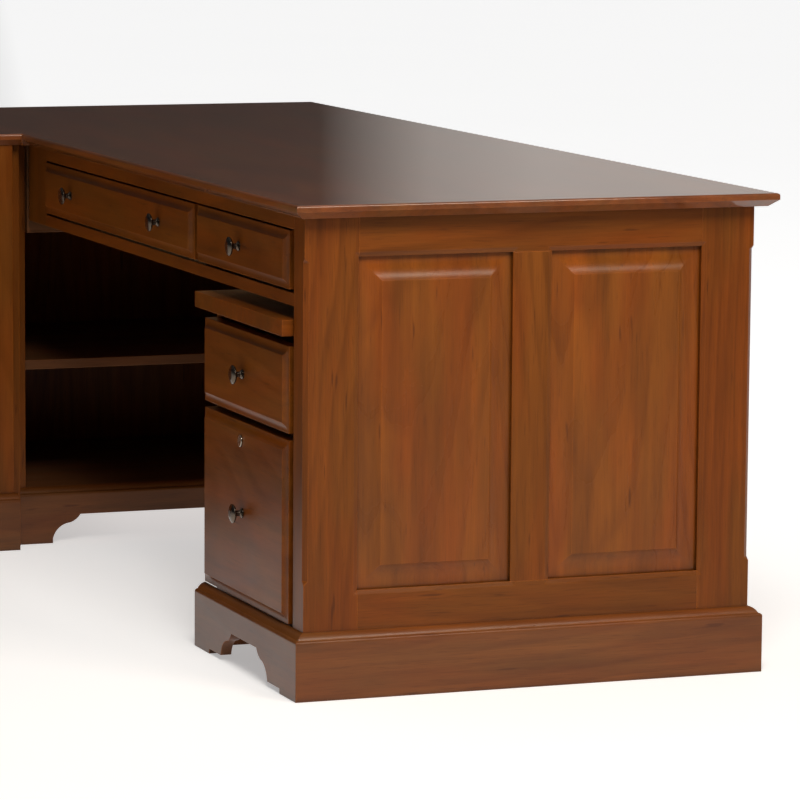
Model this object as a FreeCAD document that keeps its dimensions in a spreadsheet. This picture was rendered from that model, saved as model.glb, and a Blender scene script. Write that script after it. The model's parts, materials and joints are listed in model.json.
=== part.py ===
import FreeCAD, Part

# L-shaped corner desk in stained hardwood, in millimetres.
#
# Axes: +X from the drawer front of the main wing towards its back, +Y from its
# panelled end towards the far edge, +Z up. The working zero is the floor under
# the main wing's near front corner; place() then moves every piece so that the
# model's origin is the middle of its footprint, on the floor.

import os
import re
import Sketcher

DIMENSIONS = (
    # Overall sizes
    ("desk_height", 762),
    ("top_thick", 21),
    ("main_depth", 747),
    ("main_length", 2120),
    ("return_face", 1481),
    ("return_gap", 38),
    ("return_reach", 1100),
    # How far the two tops reach past the frames
    ("over_front", 25),
    ("over_back", 28),
    ("over_end", 35),
    ("over_far", 28),
    ("over_return", 16),
    ("over_left", 25),
    # Edge profile of the tops
    ("edge_bevel_in", 14),
    ("edge_bevel_up", 11),
    ("edge_round", 4),
    # Timber stock
    ("stock", 20),
    ("carcass_stock", 19),
    ("post_width", 88),
    ("post_depth", 48),
    ("mullion_width", 64),
    ("panel_foot", 165),
    ("panel_head", 679),
    ("frame_foot", 60),
    # Raised panels
    ("panel_set", 1),
    ("panel_thick", 17),
    ("panel_tongue", 8),
    ("panel_flat", 12),
    ("panel_sink", 9),
    ("panel_cove", 26),
    ("sticking", 7),
    ("sticking_deep", 3),
    # Stopped chamfers on the outer corners
    ("chamfer_wide", 7),
    ("chamfer_foot", 177),
    ("chamfer_head", 678),
    ("chamfer_runout", 6),
    # Plinth
    ("plinth_thick", 18),
    ("plinth_arris", 89),
    ("plinth_round", 5),
    ("plinth_cove", 17),
    ("plinth_high", 104),
    ("arch_high", 52),
    ("foot_wide", 76),
    ("foot_pad", 8),
    ("foot_ledge", 58),
    ("ogee_mid_run", 33),
    ("ogee_mid_rise", 37),
    ("ogee_run", 53),
    ("ogee_radius", 36),
    # Upper drawer row
    ("apron_foot", 601),
    ("apron_head", 620.5),
    ("top_rail_foot", 718.5),
    ("upper_front_foot", 625),
    ("upper_front_head", 715.5),
    ("short_near", 66),
    ("short_far", 517),
    ("long_near", 534),
    ("long_far", 1391),
    ("corner_near", 1393),
    ("corner_far", 1507),
    ("divider_near", 516),
    ("hanger_near", 1395),
    ("header_near", 1517),
    ("header_foot", 577),
    # Pedestal
    ("pedestal_far", 478),
    ("pedestal_top_foot", 555),
    ("pedestal_top_head", 580),
    ("front_near", 66),
    ("front_far", 476),
    ("box_front_foot", 402.5),
    ("box_front_head", 537),
    ("file_front_foot", 106),
    ("file_front_head", 391.5),
    ("rail_foot", 386),
    ("rail_head", 405),
    # Drawer fronts
    ("front_thick", 26),
    ("front_proud", 7),
    ("front_flat", 3),
    ("front_sink", 6),
    ("front_cove", 12),
    # Drawer boxes and slides
    ("side_thick", 12),
    ("base_thick", 6),
    ("base_lift", 10),
    ("drawer_deep", 470),
    ("slide_gap", 13),
    ("slide_long", 450),
    ("slide_tall", 45),
    ("track_thick", 8),
    ("track_web", 2),
    ("flange", 2),
    ("slide_clear", 0.3),
    ("upper_box_foot", 632),
    ("upper_box_head", 704),
    ("box_box_foot", 412),
    ("box_box_head", 512),
    ("file_box_foot", 128),
    ("file_box_head", 348),
    # Knobs and lock
    ("knob_radius", 15),
    ("knob_reach", 21),
    ("knob_stem", 4.5),
    ("knob_base", 7.5),
    ("knob_spread", 254.5),
    ("lock_high", 363),
    ("lock_across", 279),
    ("lock_radius", 8),
    ("lock_head", 9.5),
    ("lock_play", 0.05),
    ("cam_reach", 31),
    ("cam_back", 43),
    ("cam_thick", 2),
    ("cam_wide", 10),
    ("key_slot", 1.6),
    # Corner bookcase
    ("bookcase_face", 1536),
    ("bookcase_foot", 67),
    ("shelf_foot", 322),
    ("shelf_head", 339),
    ("shelf_set", 4),
    ("floor_foot", 85),
    # Return wing
    ("stile", 60),
    ("centre_stile", 50),
    ("door_foot", 160),
    ("door_head", 681),
    ("door_gap", 2),
    ("door_knob_in", 30),
    ("door_knob_high", 480),
    ("back_thick", 12),
    ("return_plinth_past", 7),
    # Hinges
    ("hinge_radius", 4),
    ("pin_radius", 2),
    ("pin_play", 0.1),
    ("knuckle", 20),
    ("knuckle_gap", 0.3),
    ("leaf_thick", 1.5),
    ("leaf_wide", 18),
    ("leaf_clear", 0.5),
    ("hinge_inset", 90),
)

UNDERSIDE = "(desk_height - top_thick)"
CENTRE_X = "((main_depth + over_back - return_reach - over_left) / 2)"
CENTRE_Y = "((main_length + over_far - over_end) / 2)"
RETURN_TOP_EDGE = "(return_face - over_return)"

Vector = FreeCAD.Vector
UPRIGHT = Vector(0, 0, 1)
START, END, CENTRE = 1, 2, 3
ORIGIN_POINT = (-1, 1)

# Quarter turns about Z that aim a piece's front, which is local -Y
TO_VIEWER, TO_LEFT, TO_BACK = 0, -90, 90

doc = FreeCAD.newDocument("CornerDesk")
sheet = doc.addObject("Spreadsheet::Sheet", "Dims")
sub_parts = []


def fill_sheet():
    for row, (alias, size) in enumerate(DIMENSIONS, start=1):
        sheet.set(f"A{row}", alias)
        sheet.set(f"B{row}", str(size))
        sheet.setAlias(f"B{row}", alias)
    doc.recompute()


def bind(text):
    """Point every dimension name in an expression at the spreadsheet."""
    return re.sub(r"[a-z][a-z_]+", lambda name: "Dims." + name.group(0), text)


def number(text):
    return float(sheet.evalExpression(text))


def keep(piece):
    piece.Label = piece.Name
    sub_parts.append(piece)
    return piece


def place(piece, x, y, z, rotation=None):
    """Put a piece at a point given from the near front corner of the main wing."""
    piece.Placement = FreeCAD.Placement(Vector(), rotation or FreeCAD.Rotation())
    piece.setExpression("Placement.Base.x", bind(f"({x}) - {CENTRE_X}"))
    piece.setExpression("Placement.Base.y", bind(f"({y}) - {CENTRE_Y}"))
    piece.setExpression("Placement.Base.z", bind(z))
    return piece


def turned(degrees):
    return FreeCAD.Rotation(UPRIGHT, degrees)


def offset(origin, turn, x, y, z):
    """The point at local (x, y, z) of a frame that is turned and set at origin."""
    if turn == TO_LEFT:
        return f"{origin[0]} + {y}", f"{origin[1]} - ({x})", f"{origin[2]} + {z}"
    if turn == TO_BACK:
        return f"{origin[0]} - ({y})", f"{origin[1]} + {x}", f"{origin[2]} + {z}"
    return f"{origin[0]} + {x}", f"{origin[1]} + {y}", f"{origin[2]} + {z}"


# Plain boards and boolean work


def board(name, x, y, z):
    """A square-edged board between two X, two Y and two Z values."""
    box = doc.addObject("Part::Box", name)
    for side, (low, high) in zip(("Length", "Width", "Height"), (x, y, z)):
        box.setExpression(side, bind(f"({high}) - ({low})"))
    return place(box, x[0], y[0], z[0])


def local_board(name, origin, turn, x, y, z):
    box = doc.addObject("Part::Box", name)
    for side, (low, high) in zip(("Length", "Width", "Height"), (x, y, z)):
        box.setExpression(side, bind(f"({high}) - ({low})"))
    corner = offset(origin, turn, f"({x[0]})", f"({y[0]})", f"({z[0]})")
    return place(box, *corner, turned(turn))


def joined(name, pieces):
    fuse = doc.addObject("Part::MultiFuse", name)
    fuse.Shapes = pieces
    return fuse


def grouped(name, pieces):
    group = doc.addObject("Part::Compound", name)
    group.Links = pieces
    return group


def less(name, base, tools):
    cut = doc.addObject("Part::Cut", name)
    cut.Base = base
    cut.Tool = tools[0] if len(tools) == 1 else joined(name + "_tools", tools)
    return cut


# Sketches whose every corner is tied to the spreadsheet


def origin_plane(body, role):
    for feature in body.Origin.OriginFeatures:
        if feature.Role == role:
            return feature
    raise ValueError(role)


def arc_between(first, last, radius, side):
    """A minor arc; side is +1 with the centre left of the way from first to last."""
    middle = (first + last) / 2
    chord = last - first
    reach = (radius**2 - (chord.Length / 2) ** 2) ** 0.5
    left = Vector(-chord.y, chord.x, 0).normalize()
    centre = middle + left * (reach * side)
    begin, finish = (first, last) if side > 0 else (last, first)
    angles = [(point - centre).getAngle(Vector(1, 0, 0)) for point in (begin, finish)]
    angles = [a if p.y >= centre.y else -a for a, p in zip(angles, (begin, finish))]
    circle = Part.Circle(centre, UPRIGHT, radius)
    return Part.ArcOfCircle(circle, angles[0], angles[1])


def tie(sketch, kind, geometry, point, text):
    link = Sketcher.Constraint(kind, *ORIGIN_POINT, geometry, point, number(text))
    index = sketch.addConstraint(link)
    sketch.setExpression(f"Constraints[{index}]", bind(text))


def draw_loop(sketch, corners):
    """Draw a closed loop. A corner is (x, y), or (x, y, radius, side) before an arc."""
    points = [Vector(number(c[0]), number(c[1]), 0) for c in corners]
    edges = []
    for index, corner in enumerate(corners):
        first, last = points[index], points[(index + 1) % len(points)]
        if len(corner) == 4:
            curve = arc_between(first, last, number(corner[2]), corner[3])
            ends = (START, END) if corner[3] > 0 else (END, START)
        else:
            curve = Part.LineSegment(first, last)
            ends = (START, END)
        edges.append((sketch.addGeometry(curve, False), *ends))
    for index, corner in enumerate(corners):
        geometry, start, end = edges[index]
        following, next_start, _ = edges[(index + 1) % len(edges)]
        meet = Sketcher.Constraint("Coincident", geometry, end, following, next_start)
        sketch.addConstraint(meet)
        tie(sketch, "DistanceX", geometry, start, corner[0])
        tie(sketch, "DistanceY", geometry, start, corner[1])
        if len(corner) == 4:
            radius = Sketcher.Constraint("Radius", geometry, number(corner[2]))
            held = sketch.addConstraint(radius)
            sketch.setExpression(f"Constraints[{held}]", bind(corner[2]))


def sketch_on(body, role, loops):
    sketch = body.newObject("Sketcher::SketchObject", body.Name + "_sketch")
    sketch.AttachmentSupport = [(origin_plane(body, role), "")]
    sketch.MapMode = "FlatFace"
    for loop in loops:
        draw_loop(sketch, loop)
    return sketch


def new_body(name):
    return doc.addObject("PartDesign::Body", name)


def pad(body, role, loops, length, reverse=False):
    feature = body.newObject("PartDesign::Pad", body.Name + "_pad")
    feature.Profile = sketch_on(body, role, loops)
    feature.setExpression("Length", bind(length))
    feature.Reversed = reverse
    doc.recompute()
    return feature


def pocket(body, role, loops, side="Symmetric", reverse=False):
    """Cut right through, and make sure that the cut took something away."""
    before = body.Shape.Volume
    feature = body.newObject("PartDesign::Pocket", body.Name + "_pocket")
    feature.Profile = sketch_on(body, role, loops)
    feature.Type = "ThroughAll"
    feature.SideType = side
    feature.Reversed = reverse
    doc.recompute()
    if body.Shape.Volume >= before - 1:
        raise RuntimeError(f"{feature.Name} removed nothing")
    return feature


def turned_body(name, profile):
    """A solid of revolution about local Z from (radius, height) corners."""
    body = new_body(name)
    sketch = sketch_on(body, "XZ_Plane", [profile])
    feature = body.newObject("PartDesign::Revolution", name + "_turning")
    feature.Profile = sketch
    feature.ReferenceAxis = (sketch, ["V_Axis"])
    feature.Angle = 360
    doc.recompute()
    return body


# Shared shapes


def edge_loops(edge, inward):
    """Under-bevel and rounded arris to take off a top's edge at a sketch's x."""
    step = "+" if inward > 0 else "-"
    bevel = [
        (edge, "0"),
        (f"{edge} {step} edge_bevel_in", "0"),
        (edge, "edge_bevel_up"),
    ]
    arris = [
        (edge, "top_thick - edge_round", "edge_round", -inward),
        (f"{edge} {step} edge_round", "top_thick"),
        (edge, "top_thick"),
    ]
    return [bevel, arris]


def rectangle(x, y):
    return [(x[0], y[0]), (x[1], y[0]), (x[1], y[1]), (x[0], y[1])]


def raised(name, size, thick, flat, sink, cove, origin, turn):
    """A board whose field stands up from a flat margin through a cove all round."""
    width, height = size
    body = new_body(name)
    pad(body, "XZ_Plane", [rectangle(("0", width), ("0", height))], thick, True)
    radius = f"(({cove})^2 + ({sink})^2) / (2 * ({sink}))"
    left = [
        ("-1", "-1"),
        ("-1", sink),
        (flat, sink, radius, -1),
        (f"{flat} + {cove}", "0"),
        (f"{flat} + {cove}", "-1"),
    ]
    right = [
        (f"{width} + 1", "-1"),
        (f"{width} + 1", sink),
        (f"{width} - ({flat})", sink, radius, 1),
        (f"{width} - ({flat}) - {cove}", "0"),
        (f"{width} - ({flat}) - {cove}", "-1"),
    ]
    low = [
        ("-1", "-1"),
        (sink, "-1"),
        (sink, flat, radius, 1),
        ("0", f"{flat} + {cove}"),
        ("-1", f"{flat} + {cove}"),
    ]
    high = [
        ("-1", f"{height} + 1"),
        (sink, f"{height} + 1"),
        (sink, f"{height} - ({flat})", radius, -1),
        ("0", f"{height} - ({flat}) - {cove}"),
        ("-1", f"{height} - ({flat}) - {cove}"),
    ]
    pocket(body, "XY_Plane", [left, right])
    pocket(body, "YZ_Plane", [low, high])
    return place(body, *origin, turned(turn))


def opening_cutters(name, origin, turn, x, z, through):
    """What a frame loses round a panel: a bevelled lip, the groove, and the hole."""
    lip = doc.addObject("Part::Wedge", name + "_lip")
    wide, tall = f"(({x[1]}) - ({x[0]}))", f"(({z[1]}) - ({z[0]}))"
    spread = "sticking * (1 + 1 / sticking_deep)"
    sizes = {
        "Xmin": f"0 - {spread}",
        "Zmin": f"0 - {spread}",
        "Ymin": "-1",
        "Xmax": f"{wide} + {spread}",
        "Zmax": f"{tall} + {spread}",
        "Ymax": "sticking_deep",
        "X2min": "0",
        "Z2min": "0",
        "X2max": wide,
        "Z2max": tall,
    }
    # The wedge starts with room above every lower limit, so none passes its partner
    for limit in ("Xmax", "Ymax", "Zmax", "X2max", "Z2max"):
        setattr(lip, limit, number(sizes[limit]))
    for limit in ("Xmin", "Ymin", "Zmin", "X2min", "Z2min"):
        setattr(lip, limit, number(sizes[limit]))
    for limit, text in sizes.items():
        lip.setExpression(limit, bind(text))
    corner = offset(origin, turn, f"({x[0]})", "0", f"({z[0]})")
    place(lip, *corner, turned(turn))
    groove = local_board(
        name + "_groove",
        origin,
        turn,
        (f"{x[0]} - panel_tongue", f"{x[1]} + panel_tongue"),
        ("panel_set + panel_sink", "panel_set + panel_thick"),
        (f"{z[0]} - panel_tongue", f"{z[1]} + panel_tongue"),
    )
    cutters = [lip, groove]
    if through:
        depth = ("0", "stock")
        cutters.append(local_board(name + "_hole", origin, turn, x, depth, z))
    return cutters


def panel_for(name, origin, turn, x, z):
    """The raised panel that fills an opening, its tongue in the frame's groove."""
    corner = offset(
        origin,
        turn,
        f"({x[0]} - panel_tongue)",
        "panel_set",
        f"({z[0]} - panel_tongue)",
    )
    size = (
        f"(({x[1]}) - ({x[0]}) + 2 * panel_tongue)",
        f"(({z[1]}) - ({z[0]}) + 2 * panel_tongue)",
    )
    margin = "panel_tongue + panel_flat"
    return raised(
        name, size, "panel_thick", margin, "panel_sink", "panel_cove", corner, turn
    )


def stopped_chamfer(name, x, y, turn):
    """Cutter for an outer vertical corner that runs out before each end."""
    cutter = doc.addObject("Part::Wedge", name)
    tall = "(chamfer_head - chamfer_foot)"
    sizes = {
        "Xmin": "-3 * chamfer_wide",
        "Xmax": "3 * chamfer_wide",
        "X2min": "-3 * chamfer_wide",
        "X2max": "3 * chamfer_wide",
        "Ymin": "0",
        "Ymax": "chamfer_wide * 0.7071",
        "Zmin": "0",
        "Zmax": tall,
        "Z2min": "chamfer_runout",
        "Z2max": f"{tall} - chamfer_runout",
    }
    for limit in ("Xmax", "X2max", "Ymax", "Zmax", "Z2max"):
        setattr(cutter, limit, number(sizes[limit]))
    for limit in ("Xmin", "X2min", "Ymin", "Zmin", "Z2min"):
        setattr(cutter, limit, number(sizes[limit]))
    for limit, text in sizes.items():
        cutter.setExpression(limit, bind(text))
    return place(cutter, x, y, "chamfer_foot", turned(turn))


def plinth(name, length, origin, turn, mitres, arch=None):
    """A skirting board with a moulded top, mitred ends and an optional arch."""
    body = new_body(name)
    section = [
        ("0", "0"),
        ("plinth_thick", "0"),
        ("plinth_thick", "plinth_high", "plinth_cove", 1),
        ("plinth_round", "plinth_arris + plinth_round", "plinth_round", 1),
        ("0", "plinth_arris"),
    ]
    pad(body, "YZ_Plane", [section], length)
    ends = {
        "low": [("0", "0"), ("plinth_thick", "plinth_thick"), ("0", "plinth_thick")],
        "high": [
            (length, "0"),
            (f"{length} - plinth_thick", "plinth_thick"),
            (length, "plinth_thick"),
        ],
    }
    if mitres:
        pocket(body, "XY_Plane", [ends[end] for end in mitres])
    if arch:
        pocket(body, "XZ_Plane", [arch_loop(length, *arch)])
    return place(body, *origin, turned(turn))


def arch_loop(length, foot, ledge):
    """Bracket-foot cut-out: a pad, an optional ledge, then an ogee to the arch."""
    spring = f"{foot} + {ledge}" if ledge else foot
    far = f"{length} - ({spring})"
    near_side = [(foot, "-1"), (foot, "foot_pad")]
    far_side = [(f"{length} - ({foot})", "foot_pad"), (f"{length} - ({foot})", "-1")]
    near_ogee = [
        (spring, "foot_pad", "ogee_radius", -1),
        (f"{spring} + ogee_mid_run", "ogee_mid_rise", "ogee_radius", 1),
        (f"{spring} + ogee_run", "arch_high"),
    ]
    far_ogee = [
        (f"{far} - ogee_run", "arch_high", "ogee_radius", 1),
        (f"{far} - ogee_mid_run", "ogee_mid_rise", "ogee_radius", -1),
        (far, "foot_pad"),
    ]
    if not ledge:
        near_side.pop()
        far_side.pop(0)
    return near_side + near_ogee + far_ogee + far_side


# The two tops


def build_desktops():
    main = new_body("desktop_main")
    width = "(main_depth + over_front + over_back)"
    near = f"(0 - {RETURN_TOP_EDGE} - over_end)"
    far = f"(main_length + over_far - {RETURN_TOP_EDGE})"
    pad(main, "XY_Plane", [rectangle(("0", width), (near, far))], "top_thick")
    pocket(main, "XZ_Plane", edge_loops("0", 1), "One side", True)
    pocket(main, "XZ_Plane", edge_loops(width, -1))
    pocket(main, "YZ_Plane", edge_loops(near, 1) + edge_loops(far, -1))
    place(main, "0 - over_front", RETURN_TOP_EDGE, UNDERSIDE)
    keep(main)

    wing = new_body("desktop_return")
    reach = "(return_reach + over_left - over_front)"
    deep = f"(main_length + over_far - {RETURN_TOP_EDGE})"
    outline = rectangle((f"0 - {reach}", "0"), ("0", deep))
    pad(wing, "XY_Plane", [outline], "top_thick")
    pocket(wing, "XZ_Plane", edge_loops(f"(0 - {reach})", 1))
    pocket(wing, "YZ_Plane", edge_loops("0", 1) + edge_loops(deep, -1))
    place(wing, "0 - over_front", RETURN_TOP_EDGE, UNDERSIDE)
    keep(wing)


# The panelled end of the main wing


def build_panelled_end():
    origin = ("0", "0", "0")
    middle = "main_depth / 2"
    height = ("panel_foot", "panel_head")
    front = ("post_width", f"{middle} - mullion_width / 2")
    back = (f"{middle} + mullion_width / 2", "main_depth - post_width")
    cutters = joined(
        "end_cutters",
        opening_cutters("end_front", origin, TO_VIEWER, front, height, False)
        + opening_cutters("end_back", origin, TO_VIEWER, back, height, False),
    )
    thick = ("0", "stock")
    between = ("post_width", "main_depth - post_width")
    rails = {
        "end_top_rail": (between, ("panel_head", UNDERSIDE)),
        "end_bottom_rail": (between, ("frame_foot", "panel_foot")),
        "end_mullion": ((front[1], back[0]), height),
    }
    for name, (x, z) in rails.items():
        keep(less(name, board(name + "_blank", x, thick, z), [cutters]))
    posts = {
        "post_front": (("0", "post_width"), "0", -45),
        "post_back": (("main_depth - post_width", "main_depth"), "main_depth", 45),
    }
    for name, (x, corner, turn) in posts.items():
        blank = board(name + "_blank", x, ("0", "post_depth"), ("0", UNDERSIDE))
        chamfer = stopped_chamfer(name + "_chamfer", corner, "0", turn)
        keep(less(name, blank, [cutters, chamfer]))
    panels = [
        panel_for("end_panel_front", origin, TO_VIEWER, front, height),
        panel_for("end_panel_back", origin, TO_VIEWER, back, height),
    ]
    keep(grouped("end_panels", panels))


# The panelled back and the closed far end


def build_back():
    origin = ("main_depth", "post_depth", "0")
    long = "(main_length - stock - post_depth)"
    bay = f"(({long} - 2 * stile - 2 * mullion_width) / 3)"
    height = ("panel_foot", "panel_head")
    blank = local_board(
        "back_blank",
        origin,
        TO_BACK,
        ("0", long),
        ("0", "stock"),
        ("frame_foot", UNDERSIDE),
    )
    cutters = []
    panels = []
    for index in range(3):
        near = f"stile + {index} * ({bay} + mullion_width)"
        across = (near, f"{near} + {bay}")
        name = f"back_bay_{index + 1}"
        cutters += opening_cutters(name, origin, TO_BACK, across, height, True)
        panels.append(panel_for(name + "_panel", origin, TO_BACK, across, height))
    keep(less("back_frame", blank, cutters))
    keep(grouped("back_panels", panels))
    keep(
        board(
            "far_end_panel",
            ("0 - return_gap", "main_depth"),
            ("main_length - stock", "main_length"),
            ("0", UNDERSIDE),
        )
    )


# Rails and partitions of the upper drawer row


def build_drawer_row():
    face = ("0", "stock")
    along = ("post_depth", "corner_near")
    row = ("apron_foot", UNDERSIDE)
    keep(board("front_top_rail", face, along, ("top_rail_foot", UNDERSIDE)))
    keep(board("apron_rail", face, along, ("apron_foot", "apron_head")))
    keep(board("corner_stile", face, ("corner_near", "corner_far"), row))
    inside = ("stock", "main_depth - stock")
    partitions = []
    for name, near in (("divider", "divider_near"), ("hanger", "hanger_near")):
        across = (near, f"{near} + carcass_stock")
        partitions.append(board(f"drawer_row_{name}", inside, across, row))
    keep(grouped("drawer_row_partitions", partitions))
    header = board(
        "header_panel",
        ("0", "main_depth - stock"),
        ("header_near", "bookcase_face"),
        ("header_foot", UNDERSIDE),
    )
    keep(header)


# Drawer pedestal under the near end


def build_pedestal():
    deep = ("stock", "main_depth - stock")
    inside = ("post_depth + carcass_stock", "pedestal_far - carcass_stock")
    side = ("post_depth", "post_depth + carcass_stock")
    slab = ("pedestal_top_foot", "pedestal_top_head")
    top = board(
        "pedestal_top_blank",
        ("0 - plinth_thick", "main_depth - stock"),
        ("post_depth + 4", "pedestal_far"),
        slab,
    )
    notch = board("pedestal_top_notch", deep, side, slab)
    keep(less("pedestal_top", top, [notch]))
    keep(board("pedestal_outer_side", deep, side, ("frame_foot", UNDERSIDE)))
    keep(board("pedestal_bottom", deep, inside, ("floor_foot", "plinth_high")))
    keep(
        board(
            "pedestal_rail",
            ("stock", "2 * stock"),
            inside,
            ("rail_foot", "rail_head"),
        )
    )
    inner = new_body("pedestal_inner_side")
    long = "(main_depth - 2 * stock)"
    outline = rectangle(("0", long), ("0", "pedestal_top_foot"))
    pad(inner, "XZ_Plane", [outline], "carcass_stock", True)
    pocket(inner, "XZ_Plane", [arch_loop(long, "foot_wide", None)])
    keep(place(inner, "stock", "pedestal_far - carcass_stock", "0"))


# Drawers: a moulded front, a four-board box, slides and knobs


def drawer_front(name, y, z):
    size = (f"(({y[1]}) - ({y[0]}))", f"(({z[1]}) - ({z[0]}))")
    corner = ("0 - front_proud", y[1], z[0])
    return raised(
        name,
        size,
        "front_thick",
        "front_flat",
        "front_sink",
        "front_cove",
        corner,
        TO_LEFT,
    )


def drawer_box(name, walls, z):
    """Sides, back and bottom between two carcass walls given by their Y values."""
    low = f"({walls[0]} + slide_gap)"
    high = f"({walls[1]} - slide_gap)"
    within = (f"{low} + side_thick", f"{high} - side_thick")
    behind = "front_thick - front_proud"
    full = (behind, f"{behind} + drawer_deep")
    back = (f"{full[1]} - side_thick", full[1])
    base = (f"{z[0]} + base_lift", f"{z[0]} + base_lift + base_thick")
    return grouped(
        name,
        [
            board(name + "_near_side", full, (low, f"{low} + side_thick"), z),
            board(name + "_far_side", full, (f"{high} - side_thick", high), z),
            board(name + "_back", back, within, (base[1], z[1])),
            board(name + "_base", full, within, base),
        ],
    )


def slide_pair(name, walls, z):
    """Fixed channels on both carcass walls and the runners that ride in them."""
    middle = f"(({z[0]}) + ({z[1]})) / 2"
    tall = (f"{middle} - slide_tall / 2", f"{middle} + slide_tall / 2")
    channel = (f"{tall[0]} + flange", f"{tall[1]} - flange")
    runner = (f"{channel[0]} + slide_clear", f"{channel[1]} - slide_clear")
    long = ("stock + 2", "stock + 2 + slide_long")
    tracks = []
    runners = []
    for end, wall, step in (("near", walls[0], "+"), ("far", walls[1], "-")):

        def across(first, last):
            pair = (f"{wall} {step} ({first})", f"{wall} {step} ({last})")
            return pair if step == "+" else pair[::-1]

        solid = board(f"{name}_{end}_strip", long, across("0", "track_thick"), tall)
        hollow = board(
            f"{name}_{end}_channel", long, across("track_web", "track_thick"), channel
        )
        tracks.append(less(f"{name}_{end}_track", solid, [hollow]))
        reach = across("track_web + slide_clear", "slide_gap")
        runners.append(board(f"{name}_{end}_runner", long, reach, runner))
    return tracks, grouped(f"{name}_slides", runners)


def knob(name, x, y, z, facing):
    """A turned mushroom knob on a flared base, its foot on the face at x, y, z."""
    profile = [
        ("0", "0"),
        ("knob_base", "0"),
        ("knob_base", "1.5", "8", -1),
        ("knob_stem", "5"),
        ("knob_stem", "knob_reach - 11", "9", -1),
        ("knob_radius - 2", "knob_reach - 7.5"),
        ("knob_radius", "knob_reach - 5.5"),
        ("knob_radius", "knob_reach - 4", "18", 1),
        ("5", "knob_reach"),
        ("0", "knob_reach"),
    ]
    aim = {
        TO_LEFT: FreeCAD.Rotation(Vector(0, 1, 0), -90),
        TO_VIEWER: FreeCAD.Rotation(Vector(1, 0, 0), 90),
    }
    return place(turned_body(name, profile), x, y, z, aim[facing])


def build_drawers():
    pedestal = ("(post_depth + carcass_stock)", "(pedestal_far - carcass_stock)")
    short_bay = (pedestal[0], "divider_near")
    long_bay = ("(divider_near + carcass_stock)", "hanger_near")
    upper = ("upper_front_foot", "upper_front_head")
    upper_box = ("upper_box_foot", "upper_box_head")
    front_y = ("front_near", "front_far")
    drawers = {
        "short": (short_bay, ("short_near", "short_far"), upper, upper_box),
        "long": (long_bay, ("long_near", "long_far"), upper, upper_box),
        "box": (
            pedestal,
            front_y,
            ("box_front_foot", "box_front_head"),
            ("box_box_foot", "box_box_head"),
        ),
        "file": (
            pedestal,
            front_y,
            ("file_front_foot", "file_front_head"),
            ("file_box_foot", "file_box_head"),
        ),
    }
    face_x = "0 - front_proud"
    all_tracks = []
    for name, (walls, across, face, body_z) in drawers.items():
        front = drawer_front(f"{name}_drawer_front", across, face)
        if name == "file":
            bore_for_lock(front)
        keep(front)
        keep(drawer_box(f"{name}_drawer_box", walls, body_z))
        tracks, runners = slide_pair(name, walls, body_z)
        all_tracks += tracks
        keep(runners)
        middle = f"({across[0]} + {across[1]}) / 2"
        high = f"({face[0]} + {face[1]}) / 2"
        if name == "long":
            pair = [
                knob("long_near_knob", face_x, f"{middle} - knob_spread", high, TO_LEFT),
                knob("long_far_knob", face_x, f"{middle} + knob_spread", high, TO_LEFT),
            ]
            keep(grouped("long_drawer_knobs", pair))
        else:
            keep(knob(f"{name}_drawer_knob", face_x, middle, high, TO_LEFT))
    keep(grouped("slide_tracks", all_tracks))


# Lock of the file drawer


def bore_for_lock(front):
    before = front.Shape.Volume
    across = "front_far - lock_across"
    high = "lock_high - file_front_foot"
    sketch = front.newObject("Sketcher::SketchObject", "lock_bore_sketch")
    sketch.AttachmentSupport = [(origin_plane(front, "XZ_Plane"), "")]
    sketch.MapMode = "FlatFace"
    middle = Vector(number(across), number(high), 0)
    circle = Part.Circle(middle, UPRIGHT, number("lock_radius + lock_play"))
    geometry = sketch.addGeometry(circle, False)
    tie(sketch, "DistanceX", geometry, CENTRE, across)
    tie(sketch, "DistanceY", geometry, CENTRE, high)
    size = Sketcher.Constraint("Radius", geometry, number("lock_radius + lock_play"))
    held = sketch.addConstraint(size)
    sketch.setExpression(f"Constraints[{held}]", bind("lock_radius + lock_play"))
    bore = front.newObject("PartDesign::Pocket", "lock_bore")
    bore.Profile = sketch
    bore.Type = "ThroughAll"
    bore.SideType = "Symmetric"
    doc.recompute()
    if front.Shape.Volume >= before - 1:
        raise RuntimeError("the lock bore removed nothing")


def build_lock():
    """Plug, spindle and cam in one turning piece, its key slot upright at rest."""
    seat = "front_proud + slide_clear"
    profile = [
        ("0", "0 - cam_back"),
        ("4", "0 - cam_back"),
        ("4", "0 - stock - 4"),
        ("lock_radius", "0 - stock - 4"),
        ("lock_radius", seat),
        ("lock_head", seat),
        ("lock_head", f"{seat} + 1.4", "1", 1),
        ("lock_head - 1", f"{seat} + 2.4"),
        ("0", f"{seat} + 2.4"),
    ]
    plug = turned_body("lock_turned", profile)
    place(
        plug, "0", "lock_across", "lock_high", FreeCAD.Rotation(Vector(0, 1, 0), -90)
    )
    cam = board(
        "lock_cam",
        ("cam_back - cam_thick", "cam_back"),
        ("lock_across", "lock_across + cam_reach"),
        ("lock_high - cam_wide / 2", "lock_high + cam_wide / 2"),
    )
    slot = board(
        "lock_key_slot",
        ("0 - front_proud - 4", "2 - front_proud"),
        ("lock_across - key_slot / 2", "lock_across + key_slot / 2"),
        ("lock_high - 5", "lock_high + 5"),
    )
    keep(less("lock_plug", joined("lock_body", [plug, cam]), [slot]))


# Open bookcase in the corner


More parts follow.
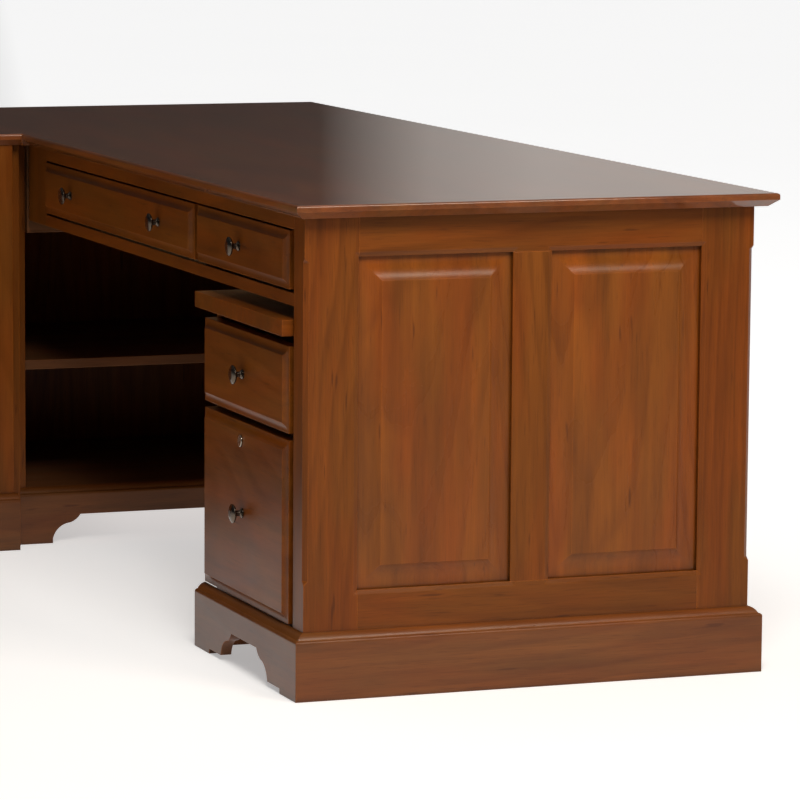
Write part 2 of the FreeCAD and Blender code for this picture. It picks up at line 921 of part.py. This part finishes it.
def build_bookcase():
    deep = ("bookcase_face", "main_length - stock")
    within = ("0", "main_depth - stock - carcass_stock")
    full = ("0", UNDERSIDE)
    leaf = board(
        "bookcase_left_outer",
        ("0 - return_gap", "0 - stock"),
        ("return_face + stock", "main_length - stock"),
        full,
    )
    face = board("bookcase_left_inner", ("0 - stock", "0"), deep, full)
    keep(joined("bookcase_side_left", [leaf, face]))
    right = (within[1], "main_depth - stock")
    keep(board("bookcase_side_right", right, deep, full))
    shelf_y = ("bookcase_face + shelf_set", "main_length - stock")
    keep(board("bookcase_shelf", within, shelf_y, ("shelf_foot", "shelf_head")))
    keep(board("bookcase_bottom", within, deep, ("floor_foot", "plinth_high")))


# Return wing: face frame, panelled doors, sides, back and floor


def build_return():
    bay = "((return_reach - return_gap - 2 * stile - centre_stile) / 2)"
    left = "(stile - return_reach)"
    right = f"({left} + {bay} + centre_stile)"
    doors_z = ("door_foot", "door_head")
    frame_y = ("return_face", "return_face + stock")
    blank = board(
        "return_frame_blank",
        ("0 - return_reach", "0 - return_gap"),
        frame_y,
        ("frame_foot", UNDERSIDE),
    )
    holes = [
        board("left_doorway", (left, f"{left} + {bay}"), frame_y, doors_z),
        board("right_doorway", (right, f"{right} + {bay}"), frame_y, doors_z),
    ]
    keep(less("return_face_frame", blank, holes))
    inner = ("stock - return_reach", "0 - return_gap")
    back_y = ("main_length - back_thick", "main_length")
    keep(board("return_back", inner, back_y, ("frame_foot", UNDERSIDE)))
    floor_y = (frame_y[1], back_y[0])
    keep(board("return_bottom", inner, floor_y, ("floor_foot", "plinth_high")))
    side = framed_panel(
        "return_end_side",
        ("0 - return_reach", "main_length", "frame_foot"),
        TO_LEFT,
        ("(main_length - return_face - stock)", f"({UNDERSIDE} - frame_foot)"),
        ("panel_foot - frame_foot", "panel_head - frame_foot"),
    )
    keep(side)
    fixed_leaves = []
    for name, start in (("left", left), ("right", right)):
        corner = (f"{start} + door_gap", "return_face", "door_foot + door_gap")
        width = f"({bay} - 2 * door_gap)"
        height = "(door_head - door_foot - 2 * door_gap)"
        inset = ("stile", f"{height} - stile")
        door = framed_panel(f"{name}_door", corner, TO_VIEWER, (width, height), inset)
        keep(door)
        across = f"{start} + {bay} - door_gap - door_knob_in"
        keep(
            knob(
                f"{name}_door_knob", across, "return_face", "door_knob_high", TO_VIEWER
            )
        )
        fixed, moving = hinges(name, f"({start} + door_gap / 2)")
        fixed_leaves += fixed
        keep(grouped(f"{name}_door_hinges", moving))
    keep(grouped("hinge_leaves_fixed", fixed_leaves))


def framed_panel(name, origin, turn, size, opening_z):
    """A glued-up frame of stiles and rails with its raised panel, as one solid."""
    width, height = size
    blank = local_board(
        name + "_blank", origin, turn, ("0", width), ("0", "stock"), ("0", height)
    )
    opening_x = ("stile", f"{width} - stile")
    cutters = opening_cutters(name, origin, turn, opening_x, opening_z, True)
    frame = less(name + "_frame", blank, cutters)
    panel = panel_for(name + "_panel", origin, turn, opening_x, opening_z)
    return joined(name, [frame, panel])


def hinges(door, axis_x):
    """Two surface hinges: outer knuckles and pin stay, the middle knuckle turns."""
    axis_y = "(return_face - hinge_radius)"
    fixed = []
    moving = []
    levels = {
        "low": "(door_foot + hinge_inset)",
        "high": "(door_head - hinge_inset)",
    }
    for level, middle in levels.items():
        name = f"{door}_{level}_hinge"
        half = "knuckle / 2"
        lower = (f"{middle} - 3 * {half}", f"{middle} - {half} - knuckle_gap")
        centre = (f"{middle} - {half}", f"{middle} + {half}")
        upper = (f"{middle} + {half} + knuckle_gap", f"{middle} + 3 * {half}")
        pin = rod(name + "_pin", axis_x, axis_y, (lower[0], upper[1]), "pin_radius")
        outer = [pin]
        for index, z in enumerate((lower, upper)):
            barrel = f"{name}_outer_{index + 1}"
            outer.append(rod(barrel, axis_x, axis_y, z, "hinge_radius"))
            outer.append(leaf_board(f"{barrel}_tab", axis_x, z, "-", "0", "leaf_clear"))
        plate = (lower[0], upper[1])
        outer.append(leaf_board(f"{name}_fixed_leaf", axis_x, plate, "-", "1", "0"))
        fixed.append(joined(f"{name}_fixed", outer))
        barrel = rod(f"{name}_barrel", axis_x, axis_y, centre, "hinge_radius")
        bore = rod(
            f"{name}_bore", axis_x, axis_y, centre, "(pin_radius + pin_play)"
        )
        tab = leaf_board(f"{name}_tab", axis_x, centre, "+", "0", "leaf_clear")
        wing = leaf_board(f"{name}_door_leaf", axis_x, plate, "+", "1", "0")
        solid = joined(f"{name}_solid", [barrel, tab, wing])
        moving.append(less(f"{name}_moving", solid, [bore]))
    return fixed, moving


def rod(name, x, y, z, radius):
    cylinder = doc.addObject("Part::Cylinder", name)
    cylinder.setExpression("Radius", bind(radius))
    cylinder.setExpression("Height", bind(f"({z[1]}) - ({z[0]})"))
    return place(cylinder, x, y, z[0])


def leaf_board(name, axis_x, z, step, leaf, overlap):
    """A hinge plate beside the barrel (leaf 1), or the tab that joins it (leaf 0)."""
    clear = "(hinge_radius + leaf_clear)"
    near = f"{leaf} * {clear}"
    far = f"{clear} + {overlap} + {leaf} * leaf_wide"
    pair = (f"{axis_x} {step} ({near})", f"{axis_x} {step} ({far})")
    x = pair if step == "+" else pair[::-1]
    return board(name, x, ("return_face - leaf_thick", "return_face"), z)


# Plinths that skirt every visible side


def build_plinths():
    out = "(0 - plinth_thick)"
    keep(
        plinth(
            "plinth_end",
            "(main_depth + 2 * plinth_thick)",
            (out, out, "0"),
            TO_VIEWER,
            ("low", "high"),
        )
    )
    keep(
        plinth(
            "plinth_front",
            "(pedestal_far + plinth_thick)",
            (out, "pedestal_far", "0"),
            TO_LEFT,
            ("high",),
            ("foot_wide", "foot_ledge"),
        )
    )
    keep(
        plinth(
            "plinth_back",
            "(main_length + plinth_thick)",
            ("main_depth + plinth_thick", out, "0"),
            TO_BACK,
            ("low",),
            ("foot_wide", None),
        )
    )
    keep(
        plinth(
            "plinth_bookcase",
            "main_depth",
            ("0 - stock", "bookcase_face - plinth_thick", "0"),
            TO_VIEWER,
            (),
            ("bookcase_foot", None),
        )
    )
    corner = ("(0 - return_reach - plinth_thick)", "(return_face - plinth_thick)")
    keep(
        plinth(
            "plinth_return",
            "(return_reach + plinth_thick - return_gap + return_plinth_past)",
            (*corner, "0"),
            TO_VIEWER,
            ("low",),
            ("foot_wide", None),
        )
    )
    keep(
        plinth(
            "plinth_return_end",
            f"(main_length - {corner[1]})",
            (corner[0], "main_length", "0"),
            TO_LEFT,
            ("high",),
            ("foot_wide", None),
        )
    )


def check_and_write():
    doc.recompute()
    for thing in doc.Objects:
        if "Invalid" in thing.State or "Error" in thing.State:
            raise RuntimeError(f"{thing.Name} failed: {thing.State}")
    for piece in sub_parts:
        if piece.Shape.isNull() or not piece.Shape.isValid():
            raise RuntimeError(f"{piece.Label} has no sound shape")
        if not piece.Shape.Solids:
            raise RuntimeError(f"{piece.Label} has no solid")
    os.makedirs("parts", exist_ok=True)
    for piece in sub_parts:
        piece.Shape.exportStep(f"parts/{piece.Label}.step")


fill_sheet()
build_desktops()
build_panelled_end()
build_back()
build_drawer_row()
build_pedestal()
build_drawers()
build_lock()
build_bookcase()
build_return()
build_plinths()
check_and_write()
print(len(sub_parts), "sub-parts written")
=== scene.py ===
import json
import math

import bmesh
import bpy
from mathutils import Matrix, Vector


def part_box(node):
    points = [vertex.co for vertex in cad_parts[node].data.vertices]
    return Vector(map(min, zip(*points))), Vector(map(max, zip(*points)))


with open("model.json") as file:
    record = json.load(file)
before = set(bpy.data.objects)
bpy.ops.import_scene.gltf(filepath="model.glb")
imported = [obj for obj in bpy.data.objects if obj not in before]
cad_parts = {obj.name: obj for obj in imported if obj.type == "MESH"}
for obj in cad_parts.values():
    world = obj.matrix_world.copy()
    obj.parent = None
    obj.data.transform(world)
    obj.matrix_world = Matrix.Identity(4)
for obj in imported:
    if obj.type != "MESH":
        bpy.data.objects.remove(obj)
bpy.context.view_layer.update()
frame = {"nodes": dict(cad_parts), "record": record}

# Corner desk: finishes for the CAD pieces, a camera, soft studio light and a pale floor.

AXES = "XYZ"


# Camera: where it stands, in metres, and how it is turned and tilted

CAMERA_PLACE = (-2.0825, -7.4292, 1.3726)
CAMERA_YAW = math.radians(20.739)
CAMERA_DOWN = math.radians(7.653)
CAMERA_ROLL = math.radians(0.415)
LENS_MM = 202.3


def add_camera():
    data = bpy.data.cameras.new("Camera")
    data.lens = LENS_MM
    data.clip_end = 200
    camera = bpy.data.objects.new("Camera", data)
    bpy.context.scene.collection.objects.link(camera)
    aim = Matrix.Rotation(-CAMERA_YAW, 4, "Z")
    tilt = Matrix.Rotation(math.pi / 2 - CAMERA_DOWN, 4, "X")
    roll = Matrix.Rotation(CAMERA_ROLL, 4, "Z")
    camera.matrix_world = Matrix.Translation(CAMERA_PLACE) @ aim @ tilt @ roll
    bpy.context.scene.camera = camera


# Node helpers


class Graph:
    """One node tree, with short calls that add a node and return its output."""

    def __init__(self, tree):
        self.tree = tree
        tree.nodes.clear()

    def node(self, kind, inputs=None, **settings):
        made = self.tree.nodes.new(kind)
        for key, value in settings.items():
            setattr(made, key, value)
        for key, value in (inputs or {}).items():
            self.feed(made.inputs[key], value)
        return made

    def feed(self, socket, value):
        if isinstance(value, bpy.types.NodeSocket):
            self.tree.links.new(value, socket)
        else:
            socket.default_value = value

    def coordinates(self, kind="Object"):
        return self.node("ShaderNodeTexCoord").outputs[kind]

    def math(self, operation, first, second=0.0, third=0.0):
        inputs = {0: first, 1: second, 2: third}
        return self.node("ShaderNodeMath", inputs, operation=operation).outputs[0]

    def split(self, vector):
        return self.node("ShaderNodeSeparateXYZ", {0: vector}).outputs

    def join(self, x, y, z):
        return self.node("ShaderNodeCombineXYZ", {0: x, 1: y, 2: z}).outputs[0]

    def scaled(self, vector, scale):
        inputs = {0: vector, 1: scale}
        return self.node("ShaderNodeVectorMath", inputs, operation="MULTIPLY").outputs[0]

    def noise(self, vector, scale, detail=2.0, roughness=0.5):
        inputs = {"Vector": vector, "Scale": scale, "Detail": detail, "Roughness": roughness}
        return self.node("ShaderNodeTexNoise", inputs).outputs[0]

    def ramp(self, factor, stops):
        made = self.node("ShaderNodeValToRGB", {0: factor})
        points = made.color_ramp.elements
        while len(points) < len(stops):
            points.new(0.5)
        for point, (place, colour) in zip(points, stops):
            point.position = place
            if isinstance(colour, (int, float)):
                colour = (colour, colour, colour)
            point.color = (*colour, 1)
        return made.outputs[0]

    def mix(self, factor, first, second, blend="MIX"):
        made = self.node("ShaderNodeMix", data_type="RGBA", blend_type=blend)
        self.feed(made.inputs[0], factor)
        for index, value in ((6, first), (7, second)):
            if isinstance(value, tuple):
                value = (*value, 1)
            self.feed(made.inputs[index], value)
        return made.outputs[2]

    def mix_values(self, factor, first, second):
        made = self.node("ShaderNodeMix", data_type="FLOAT")
        for index, value in ((0, factor), (2, first), (3, second)):
            self.feed(made.inputs[index], value)
        return made.outputs[0]


def new_material(name):
    material = bpy.data.materials.new(name)
    material.use_nodes = True
    return material, Graph(material.node_tree)


def finish_material(graph, colour, roughness, normal, **uniform):
    """The surface shader. Values that are the same all over go on its own sockets."""
    shader = graph.node("ShaderNodeBsdfPrincipled")
    graph.feed(shader.inputs["Base Color"], colour)
    graph.feed(shader.inputs["Roughness"], roughness)
    graph.feed(shader.inputs["Normal"], normal)
    for key, value in uniform.items():
        shader.inputs[key.replace("_", " ").title()].default_value = value
    output = graph.node("ShaderNodeOutputMaterial")
    graph.feed(output.inputs["Surface"], shader.outputs[0])
    return shader


# Wood: growth rings cut by the board, fibres, pores, painted shade and stain in the corners,
# painted highlights and wear on the edges, lacquer

TONES = {
    # slot: early wood, late wood, fibre and gum, all linear
    "desktop_wood": ((0.185, 0.052, 0.0085), (0.125, 0.033, 0.0050), (0.050, 0.013, 0.003)),
    "frame_wood": ((0.186, 0.049, 0.0048), (0.132, 0.034, 0.0033), (0.050, 0.012, 0.002)),
    "panel_wood": ((0.212, 0.056, 0.0045), (0.148, 0.037, 0.0030), (0.055, 0.014, 0.002)),
    "plinth_wood": ((0.152, 0.046, 0.0085), (0.112, 0.032, 0.0058), (0.050, 0.012, 0.002)),
    "inner_wood": ((0.140, 0.054, 0.0200), (0.105, 0.040, 0.0140), (0.045, 0.015, 0.005)),
    "drawer_wood": ((0.520, 0.330, 0.1700), (0.440, 0.265, 0.1300), (0.260, 0.150, 0.070)),
}
# slot: roughness, specular level, lacquer weight, lacquer roughness
LACQUER = {
    "desktop_wood": (0.40, 0.20, 0.95, 0.05),
    "frame_wood": (0.34, 0.16, 0.00, 0.20),
    "panel_wood": (0.30, 0.24, 0.00, 0.20),
    "plinth_wood": (0.34, 0.30, 0.00, 0.20),
    "inner_wood": (0.45, 0.15, 0.00, 0.30),
    "drawer_wood": (0.50, 0.30, 0.00, 0.30),
}
# The trunk, in metres: rings, where its pith lies from the board, and how far it reaches
RING_SPACING = 0.017
RING_DRIFT = 0.075
RING_RIPPLE = 0.005
TRUNK_SIDE = 0.16
TRUNK_DEPTH = 0.31
PITH_SIDE = 0.035
PITH_DEPTH = 0.085
PITH_TILT = 0.075
# How far apart in the trunk boards, rails and bays are cut, in metres
BOARD_SHIFT = 9.7
RAIL_SHIFT = 1.3
BAY_SHIFT = 2.9
# How strongly each feature shows, 0 to 1
LATE_WOOD_SHOWS = 0.80
CLOUDS_SHOW = 0.80
PORES_SHOW = 0.32
FLECKS_SHOW = 0.60
SMEAR_DEPTH = 0.10
# What fibres and pores add to the bump, and late wood to the roughness
FIBRE_RELIEF = 0.5
PORE_RELIEF = -0.6
LATE_WOOD_SHEEN = -0.03
# Glaze with painted shade in the corners and wear with a painted highlight on the edges, in
# metres, and how much paler such an edge is
SHADE_AND_GLAZE_REACH = 0.014
PANEL_SHADE_AND_GLAZE_REACH = 0.024
EDGE_ROUND = 0.0020
WEAR_AND_HIGHLIGHT_LIFT = 2.1


def board_space(graph, grain, thin):
    """Object coordinates turned so that Z runs along the grain and Y through the board."""
    parts = graph.split(graph.coordinates())
    wide = next(axis for axis in AXES if axis not in (grain, thin))
    order = [parts[AXES.index(axis)] for axis in (wide, thin, grain)]
    return graph.join(*order)


def rail_zone(graph, frame_plan):
    """1 on the rails of a frame that is one piece, 0 on its stiles and panel."""
    parts = graph.split(graph.coordinates())
    across = parts[AXES.index(frame_plan["across"])]
    inner = graph.math(
        "MULTIPLY",
        graph.math("GREATER_THAN", across, frame_plan["start"]),
        graph.math("LESS_THAN", across, frame_plan["stop"]),
    )
    outer = graph.math(
        "ADD",
        graph.math("LESS_THAN", parts[2], frame_plan["foot"]),
        graph.math("GREATER_THAN", parts[2], frame_plan["head"]),
    )
    return graph.math("MULTIPLY", inner, outer)


def growth_rings(graph, space):
    """How far the surface is into a ring, 0 to 1, for a trunk that leans from the board."""
    drift = graph.noise(graph.scaled(space, (1, 1, 0.22)), 5.0, 2.0)
    ripple = graph.noise(graph.scaled(space, (1, 1, 0.10)), 38.0, 2.0)
    side, depth, along = graph.split(space)
    side = graph.math("PINGPONG", graph.math("ADD", side, PITH_SIDE), TRUNK_SIDE)
    depth = graph.math("ADD", depth, graph.math("MULTIPLY_ADD", along, PITH_TILT, PITH_DEPTH))
    depth = graph.math("PINGPONG", depth, TRUNK_DEPTH)
    from_pith = graph.join(side, depth, 0.0)
    length = graph.node("ShaderNodeVectorMath", {0: from_pith}, operation="LENGTH")
    radius = graph.math("MULTIPLY_ADD", drift, RING_DRIFT, length.outputs["Value"])
    radius = graph.math("MULTIPLY_ADD", ripple, RING_RIPPLE, radius)
    return graph.math("FRACT", graph.math("DIVIDE", radius, RING_SPACING))


def figured_space(graph, grain, thin, frame_plan, bays):
    """Board space moved to a part of the trunk of its own for each board of the piece."""
    space = board_space(graph, grain, thin)
    chance = graph.node("ShaderNodeObjectInfo").outputs["Random"]
    shift = graph.math("MULTIPLY", chance, BOARD_SHIFT)
    if frame_plan:
        rails = rail_zone(graph, frame_plan)
        turned = board_space(graph, frame_plan["across"], thin)
        mixed = graph.node("ShaderNodeMix", data_type="VECTOR")
        for index, value in ((0, rails), (4, space), (5, turned)):
            graph.feed(mixed.inputs[index], value)
        space = mixed.outputs[1]
        shift = graph.math("MULTIPLY_ADD", rails, RAIL_SHIFT, shift)
    if bays:
        parts = graph.split(graph.coordinates())
        along = graph.math("SUBTRACT", parts[AXES.index(bays["across"])], bays["start"])
        bay = graph.math("FLOOR", graph.math("DIVIDE", along, bays["pitch"]))
        shift = graph.math("MULTIPLY_ADD", bay, BAY_SHIFT, shift)
    shifts = graph.join(shift, shift, shift)
    return graph.node("ShaderNodeVectorMath", {0: space, 1: shifts}).outputs[0], chance


def wood(name, slot, grain, thin, frame_plan=None, bays=None):
    material, graph = new_material(name)
    early, late, gum = TONES[slot]
    rough, specular, coat, coat_rough = LACQUER[slot]
    space, chance = figured_space(graph, grain, thin, frame_plan, bays)

    def stretched(along, scale, *detail):
        """Noise drawn out along the grain: the smaller the first number, the longer."""
        return graph.noise(graph.scaled(space, (1, 1, along)), scale, *detail)

    def tinted(colour, factor, stops):
        return graph.mix(1.0, colour, graph.ramp(factor, stops), "MULTIPLY")

    # Rings and broad clouds of late wood, then tints from broad to fine
    ring = growth_rings(graph, space)
    late_wood = graph.ramp(ring, [(0.0, 0.10), (0.50, 0.30), (0.84, 1.0), (1.0, 0.10)])
    fibre = stretched(0.018, 620.0, 3.0, 0.6)
    clouds = graph.ramp(stretched(0.16, 9.0, 3.0, 0.55), [(0.34, 0.0), (0.66, 1.0)])
    body = graph.mix(graph.math("MULTIPLY", late_wood, LATE_WOOD_SHOWS), early, late)
    body = graph.mix(graph.math("MULTIPLY", clouds, CLOUDS_SHOW), body, late)
    warm, cool = (1.06, 0.96, 0.86), (0.95, 1.05, 1.14)
    body = tinted(body, stretched(0.22, 16.0, 2.0), [(0.38, warm), (0.62, cool)])
    bands = stretched(0.11, 26.0, 3.0, 0.55)
    body = tinted(body, bands, [(0.36, 1.10), (0.52, 0.97), (0.66, 0.80)])
    body = tinted(body, stretched(0.035, 95.0, 2.0), [(0.35, 1.05), (0.68, 0.91)])
    body = tinted(body, fibre, [(0.30, 1.05), (0.75, 0.88)])

    # Pores and gum flecks
    pores = graph.ramp(stretched(0.03, 900.0, 1.0), [(0.60, 0.0), (0.72, 1.0)])
    flecks = graph.ramp(stretched(0.09, 160.0, 1.0), [(0.70, 0.0), (0.78, 1.0)])
    pore_marks = graph.math("MULTIPLY", pores, PORES_SHOW)
    fleck_marks = graph.math("MULTIPLY", flecks, FLECKS_SHOW)
    body = graph.mix(graph.math("MAXIMUM", pore_marks, fleck_marks), body, gum)
    body = tinted(body, chance, [(0.0, 0.90), (0.5, 1.0), (1.0, 1.08)])

    # Darker in the corners and recesses: painted shade where less light reaches, together with
    # a dark glaze
    reach = PANEL_SHADE_AND_GLAZE_REACH if slot == "panel_wood" else SHADE_AND_GLAZE_REACH
    corners = graph.node(
        "ShaderNodeAmbientOcclusion", {"Distance": reach}, samples=6, only_local=False
    ).outputs["AO"]
    body = tinted(body, corners, [(0.25, 0.26), (0.74, 1.0)])

    # Edges painted paler, more in some places than in others: wear, together with a painted
    # highlight along the edges
    rounded = graph.node("ShaderNodeBevel", {"Radius": EDGE_ROUND}, samples=4).outputs[0]
    flat = graph.node("ShaderNodeNewGeometry").outputs["Normal"]
    turn = graph.node("ShaderNodeVectorMath", {0: rounded, 1: flat}, operation="DOT_PRODUCT")
    edge = graph.ramp(turn.outputs["Value"], [(0.80, 1.0), (0.985, 0.0)])
    wear_and_highlight_spread = graph.ramp(graph.noise(space, 34.0, 3.0), [(0.32, 0.25), (0.60, 0.90)])
    worn_and_highlit = tuple(min(1.0, channel * WEAR_AND_HIGHLIGHT_LIFT) for channel in early)
    body = graph.mix(graph.math("MULTIPLY", edge, wear_and_highlight_spread), body, worn_and_highlit)

    # Open pores under the lacquer, and a sheen with smears in it
    relief = graph.math("MULTIPLY", fibre, FIBRE_RELIEF)
    relief = graph.math("MULTIPLY_ADD", pores, PORE_RELIEF, relief)
    bump = graph.node(
        "ShaderNodeBump",
        {"Strength": 0.10, "Distance": 0.0004, "Height": relief, "Normal": rounded},
    )
    smear = graph.noise(space, 7.0, 4.0, 0.6)
    sheen = graph.math("MULTIPLY_ADD", smear, SMEAR_DEPTH, rough - SMEAR_DEPTH / 2)
    sheen = graph.math("MULTIPLY_ADD", late_wood, LATE_WOOD_SHEEN, sheen)
    shader = finish_material(
        graph, body, sheen, bump.outputs[0], coat_weight=coat, coat_roughness=coat_rough
    )
    shader.inputs["Specular IOR Level"].default_value = specular
    return material


# Metals: how round their edges are, how far dirt reaches (in metres), how much the sheen varies

METAL_ROUND = 0.0006
METAL_CORNER_REACH = 0.008
METAL_SMEAR = 0.16


def metal(name, bright, dull, rough, brushed_axis=None):
    """Worn metal: bright where it is handled, dull in its corners."""
    material, graph = new_material(name)
    place = graph.coordinates()
    stretch = [1.0, 1.0, 1.0]
    if brushed_axis:
        stretch[AXES.index(brushed_axis)] = 0.02
    scratches = graph.noise(graph.scaled(place, tuple(stretch)), 900.0, 2.0, 0.6)
    cloud = graph.noise(place, 60.0, 3.0, 0.6)
    rounded = graph.node("ShaderNodeBevel", {"Radius": METAL_ROUND}, samples=4).outputs[0]
    corners = graph.node(
        "ShaderNodeAmbientOcclusion", {"Distance": METAL_CORNER_REACH}, samples=6
    ).outputs["AO"]
    open_face = graph.ramp(corners, [(0.45, 0.0), (0.95, 1.0)])
    patina = graph.math("MULTIPLY", open_face, graph.mix_values(0.5, cloud, 1.0))
    colour = graph.mix(patina, dull, bright)
    sheen = graph.math("MULTIPLY_ADD", cloud, METAL_SMEAR, rough - METAL_SMEAR / 2)
    bump = graph.node(
        "ShaderNodeBump",
        {"Strength": 0.08, "Distance": 0.0002, "Height": scratches, "Normal": rounded},
    )
    finish_material(graph, colour, sheen, bump.outputs[0], metallic=1.0)
    return material


# Which way the grain runs. Most boards: along the longest side, thin through the thinnest.

UPRIGHT_GRAIN = (
    "end_panels",
    "back_panels",
    "end_mullion",
    "post_front",
    "post_back",
    "far_end_panel",
    "pedestal_inner_side",
    "pedestal_outer_side",
    "bookcase_side_left",
    "bookcase_side_right",
    "return_back",
    "corner_stile",
)


def grain_and_thin(node):
    low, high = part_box(node)
    size = [high[i] - low[i] for i in range(3)]
    thin = AXES[size.index(min(size))]
    if node in UPRIGHT_GRAIN or node in FRAMED:
        return "Z", ("Y" if thin == "Z" else thin)
    return AXES[size.index(max(size))], thin


def framed(node, across, stile, foot, head):
    """A glued-up frame: where its rails start and stop between the outer stiles."""
    low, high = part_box(node)
    index = AXES.index(across)
    return {
        "across": across,
        "start": low[index] + stile,
        "stop": high[index] - stile,
        "foot": foot,
        "head": head,
    }


STILE = 0.060
PANEL_FOOT = 0.165
PANEL_HEAD = 0.679
DOORWAY_FOOT = 0.160
DOORWAY_HEAD = 0.681
DOOR_LOW, DOOR_HIGH = (corner.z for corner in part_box("left_door"))
FRAMED = {
    "back_frame": framed("back_frame", "Y", STILE, PANEL_FOOT, PANEL_HEAD),
    "return_end_side": framed("return_end_side", "Y", STILE, PANEL_FOOT, PANEL_HEAD),
    "return_face_frame": framed("return_face_frame", "X", STILE, DOORWAY_FOOT, DOORWAY_HEAD),
    "left_door": framed("left_door", "X", STILE, DOOR_LOW + STILE, DOOR_HIGH - STILE),
    "right_door": framed("right_door", "X", STILE, DOOR_LOW + STILE, DOOR_HIGH - STILE),
}


def bay_plan(node, across, count):
    """Equal bays along one axis, so that each panel of a group gets its own figure."""
    low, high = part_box(node)
    index = AXES.index(across)
    return {
        "across": across,
        "start": low[index],
        "pitch": (high[index] - low[index]) / count,
    }


BAYS = {
    "end_panels": bay_plan("end_panels", "X", 2),
    "back_panels": bay_plan("back_panels", "Y", 3),
}


def dress_nodes():
    metals = {
        "knob_metal": metal("knob_metal", (0.16, 0.125, 0.095), (0.030, 0.022, 0.016), 0.26),
        "lock_metal": metal("lock_metal", (0.62, 0.56, 0.46), (0.16, 0.13, 0.10), 0.26),
        "slide_steel": metal("slide_steel", (0.58, 0.59, 0.60), (0.20, 0.20, 0.20), 0.38, "X"),
        "hinge_brass": metal("hinge_brass", (0.50, 0.36, 0.17), (0.10, 0.065, 0.03), 0.32),
    }
    slots = {row["node"]: row["material_slot"] for row in frame["record"]["subparts"]}
    woods = {}
    for name, piece in frame["nodes"].items():
        slot = slots[name]
        if slot in metals:
            finish = metals[slot]
        else:
            grain, thin = grain_and_thin(name)
            special = name in FRAMED or name in BAYS
            key = f"{slot}_{name}" if special else f"{slot}_{grain}{thin}"
            if key not in woods:
                plan, bays = FRAMED.get(name), BAYS.get(name)
                woods[key] = wood(key, slot, grain, thin, plan, bays)
            finish = woods[key]
        for slot_on_piece in piece.material_slots:
            slot_on_piece.material = finish


# Stage

# Seen from above, in degrees clockwise from straight back: how bright the surroundings are
SURROUNDINGS = [
    (-72.0, (0.018, 0.028, 0.042)),
    (-21.6, 0.02),
    (20.52, 0.03),
    (21.312, (0.52, 0.49, 0.46)),
    (72.0, (0.50, 0.47, 0.44)),
    (162.0, 0.16),
]
OVERHEAD = (0.14, 0.14, 0.14)
# The floor, in metres: half its width, how far it lies below the desk, where its ramps end
FLOOR_HALF = 60
FLOOR_DROP = 0.0005
DEPTH_REACH = 5.0
SIDE_REACH = 2.5
BACKLIT_SLANT = -0.27
BACKLIGHT_SHOWS = 0.9
BACKLIT_FLOOR = (0.85, 0.85, 0.85)


def ramp_in_metres(graph, value, reach, stops):
    """A ramp whose stops are given in metres, up to the reach either way."""
    factor = graph.math("MULTIPLY_ADD", value, 0.5 / reach, 0.5)
    shares = [(0.5 + 0.5 * metres / reach, tone) for metres, tone in stops]
    return graph.ramp(factor, shares)


def add_floor():
    """A pale floor that glows a little: near the front, and more at the back right."""
    mesh = bpy.data.meshes.new("Floor")
    shape = bmesh.new()
    bmesh.ops.create_grid(shape, x_segments=4, y_segments=4, size=FLOOR_HALF)
    shape.to_mesh(mesh)
    shape.free()
    floor = bpy.data.objects.new("Floor", mesh)
    bpy.context.scene.collection.objects.link(floor)
    floor.location.z = -FLOOR_DROP
    material, graph = new_material("pale_floor")
    place = graph.coordinates()
    grey = graph.ramp(graph.noise(place, 0.8, 3.0), [(0.3, 0.80), (0.7, 0.84)])
    shader = finish_material(
        graph, grey, 0.75, graph.node("ShaderNodeNewGeometry").outputs["Normal"]
    )
    right, back, _ = graph.split(place)
    near = ramp_in_metres(graph, back, DEPTH_REACH, [(-2.8, 0.04), (-1.8, 0.26)])
    far = ramp_in_metres(graph, back, DEPTH_REACH, [(-1.5, 0.0), (2.0, 1.0)])
    aside = graph.math("MULTIPLY_ADD", back, BACKLIT_SLANT, right)
    lit = ramp_in_metres(graph, aside, SIDE_REACH, [(-0.4, 0.0), (0.25, 1.0)])
    backlight = graph.mix(1.0, far, lit, "MULTIPLY")
    glow = graph.mix(graph.math("MULTIPLY", backlight, BACKLIGHT_SHOWS), near, BACKLIT_FLOOR)
    graph.feed(shader.inputs["Emission Color"], glow)
    shader.inputs["Emission Strength"].default_value = 1.0
    mesh.materials.append(material)


def add_sky():
    """Even studio surroundings, brighter low at the back right, darker at the back left."""
    world = bpy.data.worlds.new("Studio")
    bpy.context.scene.world = world
    world.use_nodes = True
    graph = Graph(world.node_tree)
    toward = graph.split(graph.coordinates("Generated"))
    heading = graph.math("ARCTAN2", toward[0], toward[1])
    side = graph.ramp(
        graph.math("MULTIPLY_ADD", heading, 1 / (2 * math.pi), 0.5),
        [(0.5 + degrees / 360, tone) for degrees, tone in SURROUNDINGS],
    )
    upward = graph.ramp(toward[2], [(0.25, 0.0), (0.60, 1.0)])
    light = graph.mix(upward, side, OVERHEAD)
    background = graph.node("ShaderNodeBackground", {"Color": light, "Strength": 1.0})
    output = graph.node("ShaderNodeOutputWorld")
    graph.feed(output.inputs["Surface"], background.outputs[0])


def softbox(name, place, target, size, watts, colour=(1, 1, 1)):
    data = bpy.data.lights.new(name, "AREA")
    data.shape = "RECTANGLE"
    data.size, data.size_y = size
    data.energy = watts
    data.color = colour
    light = bpy.data.objects.new(name, data)
    bpy.context.scene.collection.objects.link(light)
    light.location = place
    toward = Vector(target) - Vector(place)
    light.rotation_euler = toward.to_track_quat("-Z", "Y").to_euler()


def add_lights():
    front_end = (0.55, -1.06, 0.4)
    softbox("Key", (-0.3, -4.1, 4.3), front_end, (2.0, 2.0), 205, (1.0, 0.96, 0.90))
    softbox("Strip", (1.48, -3.5, 2.9), front_end, (1.2, 0.8), 45, (1.0, 0.86, 0.72))
    softbox("Top", (0.3, 0.6, 4.5), (0.3, 0.6, 0.0), (4.0, 4.0), 25)


bpy.context.scene.view_settings.view_transform = "Standard"
add_camera()
dress_nodes()
add_floor()
add_sky()
add_lights()
